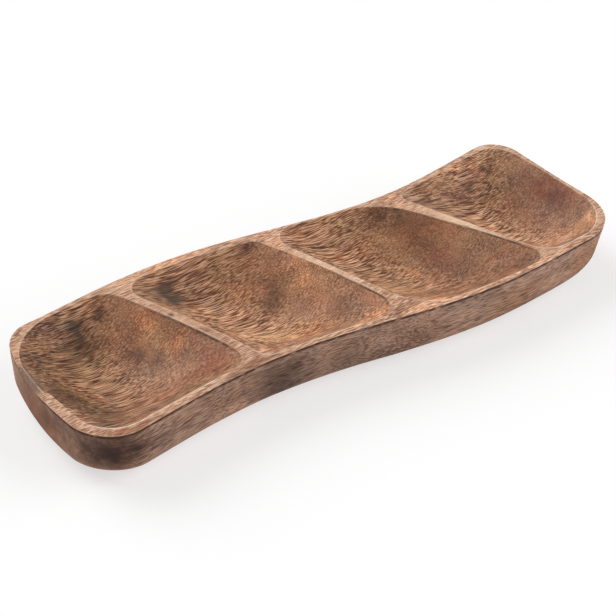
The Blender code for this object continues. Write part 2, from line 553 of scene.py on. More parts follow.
@dataclass(frozen=True)
class Lip:
    """A bowl's worn edge at one point: its softness, its crest's painted highlight, and its groove with
    painted shade.

    A crisp size is a sharp lip's, and a soft size is what a fully worn lip adds to it. The cut groove, the
    painted shade in it, the painted highlight on the crest and the bare wood lie at places that are measured
    outwards from the lip's outline.
    """

    softness: float
    crest: float
    groove: float
    crisp_blend: float = 0.0007
    soft_blend: float = 0.0033
    crisp_reach: float = 0.0036
    soft_reach: float = 0.0070
    crisp_spread: float = 0.0007
    soft_spread: float = 0.0026
    groove_depth: float = 0.0003
    cut_middle: float = -0.00115
    cut_reach: float = 0.0007
    shade_middle: float = -0.0011
    shade_reach: float = 0.0010
    highlight_middle: float = 0.0002
    highlight_reach: float = 0.0009
    crisp_bare_start: float = -0.0003
    soft_bare_start: float = -0.0055
    grooved_bare_start: float = -0.0030
    soft_bare_end: float = 0.0028

    @property
    def blend(self) -> float:
        """Return the height over which the scoop turns into the rim."""
        return self.crisp_blend + self.soft_blend * self.softness

    @property
    def reach(self) -> float:
        """Return how far the worn edge reaches into the bowl."""
        return self.crisp_reach + self.soft_reach * self.softness

    @property
    def spread(self) -> float:
        """Return how far the worn edge reaches out over the rim."""
        return self.crisp_spread + self.soft_spread * self.softness

    def drop(self, scoop: float, out: float) -> float:
        """Return how far the edge lies below the rim.

        Args:
            scoop: How far the scoop itself lies below the rim there, below 0 outside the outline.
            out: How far outside the outline the point is.

        Returns:
            The drop, at least 0, with the groove in it.
        """
        turn = min(1.0, max(0.0, 0.5 + 0.5 * scoop / self.blend))
        rounded = scoop * turn + self.blend * turn * (1 - turn)
        cut = self.groove * self.groove_depth * bump(out, self.cut_middle, self.cut_reach)
        return max(0.0, rounded) + cut

    def marks(self, out: float) -> dict[str, float]:
        """Work out the edge marks.

        Args:
            out: How far outside the outline the point is.

        Returns:
            The value of each mark there.
        """
        start = self.crisp_bare_start + self.soft_bare_start * self.softness
        start += self.grooved_bare_start * self.groove
        return {
            BARED: rise(out, (start, self.soft_bare_end * self.softness)),
            CREST_HIGHLIGHT: self.crest * bump(out, self.highlight_middle, self.highlight_reach),
            GROOVE_SHADE: self.groove * bump(out, self.shade_middle, self.shade_reach),
        }


@dataclass(frozen=True)
class Bowl:
    """One scooped hollow, with a worn lip, between two walls and the rims of the two long sides.

    The rims' widths, the corner radii, how soft the near left corner is, and where the groove along the
    right wall lies (its middle and half length as shares of that wall, from its near end) are its own. The
    rows of the lip are shares of its reach inside the outline, below 0, and of its spread outside it.

    The facings say how far the lip's place has to lie to the right, far or near side, seen from the middle,
    to count as that side. The fades are shares of a wall, from its near end: where the softness of the left
    wall ends, and where the groove and the crest of the right wall start and the crest ends again. A crest's
    number is how strong the painted highlight on it is.
    """

    name: str
    left: Wall
    right: Wall
    far_rim: float
    near_rim: float
    corner_radii: tuple[float, float, float, float]
    soft_left: float
    groove_middle: float
    groove_span: float
    depth: float = 0.028
    scoop_power: float = 2.1
    rounding_power: float = 3.5
    lip_rows: tuple[float, ...] = (-0.78, -0.6, -0.45, -0.33, -0.24, -0.16, -0.09, -0.04, 0.0, 0.4, 0.75, 1.0)
    pitch: float = 0.0022
    contours: int = 34
    corner_rounds: int = 5
    right_facing: Span = (0.34375, 0.96875)
    far_facing: Span = (0.0, 0.5)
    near_facing: Span = (0.5, 0.8333)
    softness_fade: Span = (0.625, 0.125)
    groove_fade: Span = (0.04, 0.165)
    groove_evenness: float = 0.6
    crest_fade_in: Span = (0.12, 0.37)
    crest_fade_out: Span = (1.0, 0.75)
    plain_crest: float = 0.2
    grooved_crest: float = 0.5
    far_crest: float = 0.25
    soft_crest: float = 0.7
    crest_wear: float = 0.5
    wall_room: float = 0.45

    def corner(self, board: Board, wall: Wall, side: int, far: bool) -> Plan:
        """Find where a wall's face meets the far or the near rim.

        Args:
            board: The board that the bowl is carved from.
            wall: The wall.
            side: Its left face, -1, or its right face, 1.
            far: Whether the rim is the far one.

        Returns:
            The corner on the plan.
        """
        v = 0.0
        for _ in range(self.corner_rounds):
            edge = board.half_width(wall.face(board, v, side))
            v = edge - self.far_rim if far else self.near_rim - edge
        return wall.face(board, v, side), v

    def corners(self, board: Board) -> list[Plan]:
        """Return the four sharp corners: far left, near left, near right and far right."""
        faces = ((self.left, 1, True), (self.left, 1, False), (self.right, -1, False), (self.right, -1, True))
        return [self.corner(board, wall, side, far) for wall, side, far in faces]

    def outline(self, board: Board) -> list[Plan]:
        """Draw the lip's outline, with its left and right sides bowed as the walls are.

        Args:
            board: The board that the bowl is carved from.

        Returns:
            The outline's points.
        """
        corners = self.corners(board)
        far_left, near_left, near_right, far_right = corners
        points = []
        steps = outline_steps(corners, list(self.corner_radii), self.pitch)
        for x, v in rounded_outline(corners, list(self.corner_radii), steps):
            left_share = (v - near_left[1]) / (far_left[1] - near_left[1])
            right_share = (v - near_right[1]) / (far_right[1] - near_right[1])
            left_chord = near_left[0] + (far_left[0] - near_left[0]) * left_share
            right_chord = near_right[0] + (far_right[0] - near_right[0]) * right_share
            along = (x - left_chord) / (right_chord - left_chord)
            left_bow = self.left.face(board, v, 1) - left_chord
            right_bow = self.right.face(board, v, -1) - right_chord
            points.append((x + left_bow * (1 - along) + right_bow * along, v))
        return points

    def spans(self, corners: list[Vector], outline: list[Vector], middle: Vector) -> list[float]:
        """Compare the outline with the ellipse that touches the middles of the bowl's four sides.

        Args:
            corners: The bowl's four sharp corners: far left, near left, near right and far right.
            outline: The lip's outline.
            middle: The bowl's middle.

        Returns:
            How many times farther out than the ellipse each point of the outline lies.
        """
        along = (corners[2] + corners[3] - corners[0] - corners[1]) / 4
        across = (corners[0] + corners[3] - corners[1] - corners[2]) / 4
        area = along.x * across.y - along.y * across.x
        spans = []
        for point in outline:
            reach = point - middle
            span_along = (reach.x * across.y - reach.y * across.x) / area
            span_across = (reach.y * along.x - reach.x * along.y) / area
            spans.append(math.hypot(span_along, span_across))
        return spans

    def carve(self, board: Board, skin: Skin, shift: Vector) -> Ring:
        """Sew the bowl's surface into the skin, from its deepest point up to its worn lip.

        Args:
            board: The board that it is carved from.
            skin: The tray's surface.
            shift: What moves a point of the plan to its place on the tray.

        Returns:
            The ring at the rim's level, just outside the lip.
        """
        outline = [Vector(point) for point in self.outline(board)]
        corners = [Vector(corner) for corner in self.corners(board)]
        middle = sum(corners, Vector((0, 0))) / 4
        spans = self.spans(corners, outline, middle)

        def spot(index: int, shrink: float, drop: float | None = None) -> Vector:
            """Find a point on one spoke, on the scoop or, where a drop is given, so far below the rim.

            Args:
                index: The spoke's number.
                shrink: How far out the point lies, as a share of the way to the outline.
                drop: How far below the rim it lies, where that isn't the scoop's own depth.

            Returns:
                The point on the tray.
            """
            roundness = 1 - min(shrink, 1.0) ** self.rounding_power
            scale = shrink * (1 - roundness + roundness / spans[index])
            x, v = middle + (outline[index] - middle) * scale
            if drop is None:
                drop = self.depth * (1 - shrink**self.scoop_power)
            return Vector((x, board.wave(x) + v, board.height - drop)) + shift

        reaches = [(point - middle).length for point in outline]
        lips = [self.lip(board, corners, point, middle) for point in outline]
        rings = []
        for step in range(1, self.contours + 1):
            row = []
            for index, reach in enumerate(reaches):
                row.append(spot(index, (1 - lips[index].reach / reach) * step / self.contours))
            rings.append(skin.ring(row))
        for row_share in self.lip_rows:
            row = []
            marks = {mark: [] for mark in MARKS}
            for index, reach in enumerate(reaches):
                lip = lips[index]
                out = row_share * (lip.reach if row_share < 0 else lip.spread)
                slope = self.depth * self.scoop_power / reach
                scoop = -out * slope
                if out < 0:
                    scoop = self.depth * (1 - (1 + out / reach) ** self.scoop_power)
                row.append(spot(index, 1 + out / reach, lip.drop(scoop, out)))
                for mark, value in lip.marks(out).items():
                    marks[mark].append(value)
            rings.append(skin.ring(row, marks))
        bottom = Vector((middle.x, board.wave(middle.x) + middle.y, board.height - self.depth)) + shift
        skin.fan(rings[0], bottom, Surface.TOP)
        for lower, upper in zip(rings[:-1], rings[1:]):
            skin.strip(lower, upper, Surface.TOP)
        LOG.info("%s bowl: %d points round its lip", self.name, len(outline))
        return rings[-1]

    def lip(self, board: Board, corners: list[Vector], point: Vector, middle: Vector) -> Lip:
        """Say how the lip is worn at one point of the outline.

        Args:
            board: The board that the bowl is carved from.
            corners: The bowl's four sharp corners: far left, near left, near right and far right.
            point: The point on the outline.
            middle: The bowl's middle.

        Returns:
            The lip there.
        """
        heading = (point - middle).normalized()
        right = rise(heading.x, self.right_facing)
        far = rise(heading.y, self.far_facing)
        near = rise(-heading.y, self.near_facing)
        left_along = (point - corners[1]).length / (corners[0] - corners[1]).length
        left_share = rise(left_along, self.softness_fade)
        room = max(0.0, self.wall_room * self.left.width(board, point.y) - Lip.crisp_spread)
        softness = min(self.soft_left * left_share, room / Lip.soft_spread)
        side = corners[3] - corners[2]
        along = (point - corners[2]).dot(side) / side.length_squared
        grooved = bump(along, self.groove_middle, self.groove_span) ** self.groove_evenness
        groove = right * rise(along, self.groove_fade) * grooved
        straight = min(rise(along, self.crest_fade_in), rise(along, self.crest_fade_out))
        # The crest values set how strong the painted highlight along the lip is
        right_crest = (self.plain_crest + self.grooved_crest * groove) * right * straight
        crisp_crest = max(right_crest, self.far_crest * far) * (1 - softness)
        blended = right if self.right.near_width else 0.0
        near_crest = near * (1 - blended) * (1 - self.crest_wear * softness)
        soft_crest = self.soft_crest * softness * smooth(3 * left_share)
        return Lip(softness, max(crisp_crest, near_crest, soft_crest), groove)


def tray_bowls(board: Board) -> list[Bowl]:
    """Set out the four bowls between the two end rims and the three slanted dividers.

    Args:
        board: The board that they are carved from.

    Returns:
        The bowls from left to right.
    """
    reach = board.length / 2
    left_rim = 0.0067
    right_rim = 0.0043
    walls = (
        Wall(x=-reach + left_rim, lean=-0.073, bow=-0.0054),
        Wall(x=-0.1173, lean=-0.356, bow=0.0034, near_width=0.0080, far_width=0.0068, waist=0.0007),
        Wall(x=0.0072, lean=-0.333, bow=0.0035, near_width=0.0095, far_width=0.0110, waist=0.0045),
        Wall(x=0.1297, lean=-0.422, bow=0.0030, near_width=0.0022, far_width=0.0186, waist=0.0047),
        Wall(x=reach - right_rim, lean=0.013, bow=0.0032),
    )
    return [
        Bowl(
            name="first",
            left=walls[0],
            right=walls[1],
            far_rim=0.0040,
            near_rim=0.0066,
            corner_radii=(0.035, 0.028, 0.014, 0.021),
            soft_left=0.0,
            groove_middle=0.25,
            groove_span=0.65,
        ),
        Bowl(
            name="second",
            left=walls[1],
            right=walls[2],
            far_rim=0.0076,
            near_rim=0.0052,
            corner_radii=(0.0155, 0.0137, 0.0193, 0.0089),
            soft_left=0.8,
            groove_middle=0.2,
            groove_span=0.3,
        ),
        Bowl(
            name="third",
            left=walls[2],
            right=walls[3],
            far_rim=0.0020,
            near_rim=0.0050,
            corner_radii=(0.021, 0.040, 0.010, 0.0445),
            soft_left=0.9,
            groove_middle=0.3,
            groove_span=0.45,
        ),
        Bowl(
            name="fourth",
            left=walls[3],
            right=walls[4],
            far_rim=0.0060,
            near_rim=0.0073,
            corner_radii=(0.0089, 0.0285, 0.040, 0.023),
            soft_left=1.0,
            groove_middle=0.5,
            groove_span=0.01,
        ),
    ]


@dataclass(frozen=True)
class WornPlace:
    """The stretch of the left end's rim that is rubbed down to a thin crest near the bowl.

    It lies left of the rub limit and above the rub floor, and a ring's own left end lies left of the end
    limit. The crest shares say how far across the rim the crest runs at the stretch's near and far ends. The
    wood is rubbed down on both sides of the crest, by a power of the way from it and faster towards the
    bowl. The rubbing is full over the middle of the stretch, fades out over the rub height below the rim,
    and is nowhere deeper than the steepest share of the rim's width. A sharpness says how many times its
    line fits between the crest and the rim's edge.
    """

    middle: float = 0.0155
    half_length: float = 0.030
    end_limit: float = -0.2
    rub_limit: float = -0.215
    rub_floor: float = 0.036
    crest_shares: Span = (0.5, 0.88)
    depth: float = 0.0020
    steepest: float = 0.5
    rub_height: float = 0.0085
    fullness: float = 1.3
    fall_power: float = 1.3
    inner_fall: float = 2.0
    crest_paleness: float = 0.6
    crest_sharpness: float = 9.0
    bare_sharpness: float = 5.0
    rows: tuple[float, ...] = (0.15, 0.3, 0.45, 0.58, 0.7, 0.78, 0.84, 0.9, 0.96)
    pitch: float = 0.0011

    def share(self, point: Vector) -> float:
        """Return how near a point lies to the worn stretch's middle, from 1 down to 0 beyond its ends."""
        worn = point.x < self.rub_limit and point.z > self.rub_floor
        return bump(point.y, self.middle, self.half_length) if worn else 0.0

    def edge(self, ring: Ring, y: float) -> float:
        """Find a ring's left end.

        Args:
            ring: The ring.
            y: The place along the left end.

        Returns:
            The ring's x there.
        """
        left = sorted((vertex.co.y, vertex.co.x) for vertex in ring if vertex.co.x < self.end_limit)
        for (y1, x1), (y2, x2) in zip(left[:-1], left[1:]):
            if y1 <= y < y2:
                return x1 + (x2 - x1) * (y - y1) / (y2 - y1)
        return left[0][1]

    def seeds(self, outer: Ring, lip: Ring) -> list[Vector]:
        """Return rows of points across the worn rim, so that its crest gets its own vertices.

        Args:
            outer: The ring at the rim's outer edge.
            lip: The ring at the first bowl's lip.

        Returns:
            The points.
        """
        points = []
        for step in range(int(2 * self.half_length / self.pitch) + 1):
            y = self.middle - self.half_length + step * self.pitch
            start = self.edge(outer, y)
            end = self.edge(lip, y)
            points.extend(Vector((start + (end - start) * share, y, outer[0].co.z)) for share in self.rows)
        return points

    def rub(self, skin: Skin, outer: Ring, lip: Ring) -> None:
        """Rub the rim down on both sides of its crest, paint a highlight along the crest and mark the bare
        wood.

        Args:
            skin: The tray's surface, which is changed in place.
            outer: The ring at the rim's outer edge.
            lip: The ring at the first bowl's lip.
        """
        layers = skin.mesh.verts.layers.float
        top = outer[0].co.z
        first_share, last_share = self.crest_shares
        for vertex in skin.mesh.verts:
            x, y, z = vertex.co
            share = self.share(vertex.co)
            height = (z - top + self.rub_height) / self.rub_height
            if share == 0 or height <= 0:
                continue
            start = self.edge(outer, y)
            width = self.edge(lip, y) - start
            across = (x - start) / width
            place = 0.5 + (y - self.middle) / (2 * self.half_length)
            crest = first_share + (last_share - first_share) * place
            off_crest = min(1.0, max((crest - across) / crest, self.inner_fall * (across - crest)))
            worn = min(1.0, self.fullness * share)
            depth = min(self.depth, self.steepest * width)
            vertex.co.z -= depth * worn * height * off_crest**self.fall_power
            # painted highlight along the rubbed crest
            pale = self.crest_paleness * worn * smooth(1 - self.crest_sharpness * off_crest)
            vertex[layers[CREST_HIGHLIGHT]] = max(vertex[layers[CREST_HIGHLIGHT]] * (1 - worn), pale)
            vertex[layers[BARED]] *= 1 - worn * smooth(self.bare_sharpness * off_crest)
            vertex[layers[GROOVE_SHADE]] *= 1 - worn


@dataclass(frozen=True)
class Figure:
    """The grain's own patterns in one material, each as a node socket."""

    fibres: Socket
    vessels: Socket
    lengthwise: Socket
    layers: Socket
    patches: Socket
    hues: Socket
    ragged: Socket
    place: Socket


@dataclass(frozen=True)
class Threads:
    """Noise that is drawn out along the grain: its threads' size there, and how many finer layers it has."""

    length_mm: float
    width_mm: float
    height_mm: float
    detail: float
    roughness: float = 0.6

    def draw(self, tree: Tree, place: Socket) -> Socket:
        """Add the noise to a material.

        Args:
            tree: The material's node tree.
            place: The place in the grain, in millimetres.

        Returns:
            A value round 0.5.
        """
        fineness = (1 / self.length_mm, 1 / self.width_mm, 1 / self.height_mm)
        drawn = add_node(tree, "VectorMath", {0: place, 1: fineness}, operation="MULTIPLY")
        feeds = {"Vector": drawn, "Scale": 1.0, "Detail": self.detail, "Roughness": self.roughness}
        return add_node(tree, "TexNoise", feeds).outputs["Fac"]


@dataclass(frozen=True)
class MangoGrain:
    """How the fibres, vessels and growth layers of the block run. The fibres dive towards +X.

    A real vessel of mango is about 0.25 mm wide and a layer's dark line about 0.4 mm. Both are drawn two to
    three times as wide, because finer ones don't show in the render. On the faces that look towards the
    tray's long sides the threads are level and only as tall as steep_mm. A cut is the range over which a
    face's turn, or a pattern's value, brings in or takes out what it is named for.
    """

    dive: float = math.radians(12)
    bend_mm: float = 12.0
    bend_size_mm: float = 80.0
    bend_detail: float = 1.5
    # Fibres, vessels and layers are all drawn coarser than real ones, or they wouldn't show in the render
    fibre: Threads = Threads(18.0, 0.6, 1.4, 2.0)
    vessel: Threads = Threads(15.0, 0.6, 1.4, 0.5)
    steep_mm: float = 0.75
    steep_cut: Span = (0.3, 0.6)
    crowd: Threads = Threads(16.0, 6.0, 6.0, 2.0)
    crowding: float = 0.09
    layer_mm: float = 1.6
    layer_cut: Span = (0.1, 0.95)
    layer_drift_mm: float = 9.0
    layer_drift: Threads = Threads(55.0, 20.0, 20.0, 3.0)
    layer_gate: Threads = Threads(30.0, 22.0, 22.0, 1.0)
    layer_gate_cut: Span = (0.44, 0.6)
    patch: Threads = Threads(55.0, 20.0, 20.0, 4.0)
    hue: Threads = Threads(48.0, 26.0, 26.0, 2.0)
    ragged: Threads = Threads(9.0, 4.0, 4.0, 3.0)
    ragged_mm: float = 11.0
    ragged_swing_mm: float = 16.0
    clearest_facing: float = 0.2
    end_grain_cut: Span = (0.35, 0.8)
    end_grain_share: float = 0.4

    def figure(self, tree: Tree) -> Figure:
        """Add the grain's patterns to a material.

        Args:
            tree: The material's node tree.

        Returns:
            The patterns.
        """
        here = add_node(tree, "TexCoord").outputs["Object"]
        swing = self.bend_mm / 1000
        bent = self.warp(tree, here, self.bend_size_mm, (0.0, swing, swing))
        turned = add_node(tree, "VectorRotate", {"Vector": bent, "Angle": -self.dive}, rotation_type="Y_AXIS")
        grain, level = (
            add_node(tree, "VectorMath", {0: place, "Scale": 1000.0}, operation="SCALE").outputs[0]
            for place in (turned, bent)
        )
        lengthwise = self.lengthwise(tree)
        crowd = self.crowd.draw(tree, grain)
        vessels = self.cut(tree, grain, level, self.vessel)
        crowded = add_node(tree, "Math", {0: crowd, 1: self.crowding, 2: vessels}, operation="MULTIPLY_ADD")
        fibres = self.cut(tree, grain, level, self.fibre)
        shown = add_node(tree, "Mix", {0: lengthwise, 2: 0.5, 3: fibres}, data_type="FLOAT")
        return Figure(
            fibres=shown.outputs[0],
            vessels=crowded.outputs[0],
            lengthwise=lengthwise,
            layers=self.layers(tree, grain),
            patches=self.patch.draw(tree, grain),
            hues=self.hue.draw(tree, grain),
            ragged=self.ragged.draw(tree, grain),
            place=self.warp(tree, here, self.ragged_mm, (self.ragged_swing_mm / 1000,) * 3),
        )

    def lengthwise(self, tree: Tree) -> Socket:
        """Find 1 where the wood is cut along the fibres, and little where it is cut across them.

        Args:
            tree: The material's node tree.

        Returns:
            The share of the figure that shows there.
        """
        normal = add_node(tree, "TexCoord").outputs["Normal"]
        fibre = (math.cos(self.dive), 0.0, -math.sin(self.dive))
        facing = add_node(tree, "VectorMath", {0: normal, 1: fibre}, operation="DOT_PRODUCT").outputs["Value"]
        leaning = add_node(tree, "Math", {0: facing, 1: self.clearest_facing}, operation="SUBTRACT")
        steepness = add_node(tree, "Math", {0: leaning}, operation="ABSOLUTE")
        clear, faint = self.end_grain_cut
        feeds = {"Value": steepness, "From Min": clear, "From Max": faint, "To Min": 1.0}
        return add_node(tree, "MapRange", {**feeds, "To Max": self.end_grain_share}).outputs[0]

    def warp(self, tree: Tree, place: Socket, size_mm: float, swing: tuple[float, float, float]) -> Socket:
        """Push a place about with soft noise.

        Args:
            tree: The material's node tree.
            place: The place, in metres.
            size_mm: How large the noise is.
            swing: How far it pushes along each axis, in metres.

        Returns:
            The pushed place.
        """
        feeds = {"Vector": place, "Scale": 1000 / size_mm, "Detail": self.bend_detail}
        cloud = add_node(tree, "TexNoise", feeds).outputs["Color"]
        centred = add_node(tree, "VectorMath", {0: cloud, 1: (0.5, 0.5, 0.5)}, operation="SUBTRACT")
        pushed = add_node(tree, "VectorMath", {0: centred, 1: swing, 2: place}, operation="MULTIPLY_ADD")
        return pushed.outputs[0]

    def cut(self, tree: Tree, place: Socket, level: Socket, threads: Threads) -> Socket:
        """Draw threads as the tray's faces cut them.

        Args:
            tree: The material's node tree.
            place: The place in the grain, in millimetres.
            level: The place in the grain where it doesn't dive, in millimetres.
            threads: The threads on the faces that look up or along the tray.

        Returns:
            A value round 0.5.
        """
        normal = add_node(tree, "TexCoord").outputs["Normal"]
        sideways = add_node(tree, "SeparateXYZ", {0: normal}).outputs["Y"]
        facing = add_node(tree, "Math", {0: sideways}, operation="ABSOLUTE")
        gentle, steep = self.steep_cut
        share = add_node(tree, "MapRange", {"Value": facing, "From Min": gentle, "From Max": steep})
        tall = threads.draw(tree, place)
        low = replace(threads, height_mm=self.steep_mm).draw(tree, level)
        return add_node(tree, "Mix", {0: share, 2: tall, 3: low}, data_type="FLOAT").outputs[0]

    def layers(self, tree: Tree, place: Socket) -> Socket:
        """Draw the growth layers' dark lines, which lie nearly level in the board.

        Args:
            tree: The material's node tree.
            place: The place in the grain, in millimetres.

        Returns:
            A value of 1 in the middle of a dark line, fading out where the layers don't show.
        """
        drift = self.layer_drift.draw(tree, place)
        height = add_node(tree, "SeparateXYZ", {0: place}).outputs["Z"]
        feeds = {0: drift, 1: 2 * self.layer_drift_mm, 2: height}
        moved = add_node(tree, "Math", feeds, operation="MULTIPLY_ADD")
        turns = add_node(tree, "Math", {0: moved, 1: math.tau / self.layer_mm}, operation="MULTIPLY")
        wave = add_node(tree, "Math", {0: turns}, operation="SINE")
        gate = self.layer_gate.draw(tree, place)
        line, shown = (
            add_node(tree, "MapRange", {"Value": value, "From Min": low, "From Max": high})
            for value, (low, high) in ((wave, self.layer_cut), (gate, self.layer_gate_cut))
        )
        return add_node(tree, "Math", {0: line, 1: shown}, operation="MULTIPLY").outputs[0]


class Blend(Enum):
    """How a patch meets the wood: it darkens or lightens the wood under it, or it covers it."""

    DARKEN = "MULTIPLY"
    LIGHTEN = "DODGE"
    COVER = "MIX"


@dataclass(frozen=True)
class StainAndLightPatch:
    """A soft ragged patch laid over the wood's colour: a stain in the wood, or painted light or shade where
    noted.
    It has a middle, half sizes and a turn on the plan, in degrees.

    The ragged pattern is added to a ball that fades out from the middle. The edge is the range of that sum
    over which the patch comes in.
    """

    place_mm: tuple[float, float, float]
    reach_mm: tuple[float, float, float]
    turn: float
    colour: str
    strength: float
    blend: Blend = Blend.DARKEN
    raggedness: float = 0.55
    edge: Span = (0.45, 1.2)

    def lay(self, tree: Tree, wood: Socket, figure: Figure) -> Socket:
        """Lay the patch over the wood's colour.

        Args:
            tree: The material's node tree.
            wood: The colour under it.
            figure: The grain's patterns.

        Returns:
            The colour with the patch.
        """
        feeds = {
            "Vector": figure.place,
            "Location": tuple(value / 1000 for value in self.place_mm),
            "Rotation": (0.0, 0.0, math.radians(self.turn)),
            "Scale": tuple(value / 1000 for value in self.reach_mm),
        }
        local = add_node(tree, "Mapping", feeds, vector_type="TEXTURE")
        heart = add_node(tree, "TexGradient", {"Vector": local}, gradient_type="SPHERICAL").outputs["Fac"]
        feeds = {0: figure.ragged, 1: self.raggedness, 2: heart}
        broken = add_node(tree, "Math", feeds, operation="MULTIPLY_ADD")
        outer, inner = self.edge
        feeds = {"Value": broken, "From Min": outer, "From Max": inner, "To Max": self.strength}
        cover = add_node(tree, "MapRange", feeds, interpolation_type="SMOOTHSTEP")
        feeds = {0: cover, 6: wood, 7: linear(self.colour)}
        return add_node(tree, "Mix", feeds, data_type="RGBA", blend_type=self.blend.value).outputs[2]


@dataclass(frozen=True)
class MangoFinish:
    """One way that the mango wood is cut and finished.

    The shades run from the palest to the darkest wood, and the hues from the coolest to the warmest. The
    weights say how much the fibres and the broad patches each change the shade. A cut is the range of a
    pattern's value over which the hue turns, or a vessel or the pale halo beside it comes in.
    """

    shades: tuple[str, str, str, str]
    hues: tuple[str, str]
    vessel: str
    vessel_share: float
    halo: str
    halo_share: float
    layer_share: float
    fibre_weight: float
    patch_weight: float
    roughness: float
    relief_mm: float
    shade_places: tuple[float, float, float, float] = (0.15, 0.4, 0.62, 0.85)
    hue_cut: Span = (0.35, 0.65)
    vessel_cut: Span = (0.595, 0.64)
    halo_cut: Span = (0.505, 0.46)
    stains_and_light_patches: tuple[StainAndLightPatch, ...] = ()

    def flecks(self, tree: Tree, figure: Figure) -> Socket:
        """Find how much of the dark vessels and layers shows at each place.

        Args:
            tree: The material's node tree.
            figure: The grain's patterns.

        Returns:
            The share that they cover there.
        """
        low, high = self.vessel_cut
        feeds = {"Value": figure.vessels, "From Min": low, "From Max": high, "To Max": self.vessel_share}
        spots = add_node(tree, "MapRange", feeds)
        lines = add_node(tree, "Math", {0: figure.layers, 1: self.layer_share}, operation="MULTIPLY")
        both = add_node(tree, "Math", {0: spots, 1: lines}, operation="MAXIMUM")
        return add_node(tree, "Math", {0: both, 1: figure.lengthwise}, operation="MULTIPLY").outputs[0]

    def halos(self, tree: Tree, figure: Figure) -> Socket:
        """Find how much of the pale wood beside the vessels shows at each place.

        Args:
            tree: The material's node tree.
            figure: The grain's patterns.

        Returns:
            The share that it covers there.
        """
        low, high = self.halo_cut
        feeds = {"Value": figure.vessels, "From Min": low, "From Max": high, "To Max": self.halo_share}
        pale = add_node(tree, "MapRange", feeds)
        return add_node(tree, "Math", {0: pale, 1: figure.lengthwise}, operation="MULTIPLY").outputs[0]

    def ground(self, tree: Tree, figure: Figure) -> Socket:
        """Mix the wood's shade and hue.

        Args:
            tree: The material's node tree.
            figure: The grain's patterns.

        Returns:
            The colour without vessels and stains.
        """
        shade = 0.5 * (1 - self.fibre_weight - self.patch_weight)
        for pattern, weight in ((figure.fibres, self.fibre_weight), (figure.patches, self.patch_weight)):
            shade = add_node(tree, "Math", {0: pattern, 1: weight, 2: shade}, operation="MULTIPLY_ADD")
        palette = add_node(tree, "ValToRGB", {"Fac": shade})
        ramp = palette.color_ramp
        for place in self.shade_places[1:-1]:
            ramp.elements.new(place)
        for element, place, hex_colour in zip(ramp.elements, self.shade_places, self.shades):
            element.position = place
            element.color = linear(hex_colour)
        low, high = self.hue_cut
        cast = add_node(tree, "MapRange", {"Value": figure.hues, "From Min": low, "From Max": high})
        cool, warm = (linear(hex_colour) for hex_colour in self.hues)
        hue = add_node(tree, "Mix", {0: cast, 6: cool, 7: warm}, data_type="RGBA").outputs[2]
        feeds = {0: 1.0, 6: palette, 7: hue}
        return add_node(tree, "Mix", feeds, data_type="RGBA", blend_type="MULTIPLY").outputs[2]

    def colour(self, tree: Tree, figure: Figure) -> Socket:
        """Mix the wood's whole colour: its ground, the pale and dark sides of its vessels, its stains, and
        its patches of painted light and shade.

        Args:
            tree: The material's node tree.
            figure: The grain's patterns.

        Returns:
            The colour.
        """
        colour = self.ground(tree, figure)
        halos = self.halos(tree, figure)
        flecks = self.flecks(tree, figure)
        for cover, hex_colour in ((halos, self.halo), (flecks, self.vessel)):
            feeds = {0: cover, 6: colour, 7: linear(hex_colour)}
            colour = add_node(tree, "Mix", feeds, data_type="RGBA").outputs[2]
        for tone_patch in self.stains_and_light_patches:
            colour = tone_patch.lay(tree, colour, figure)
        return colour


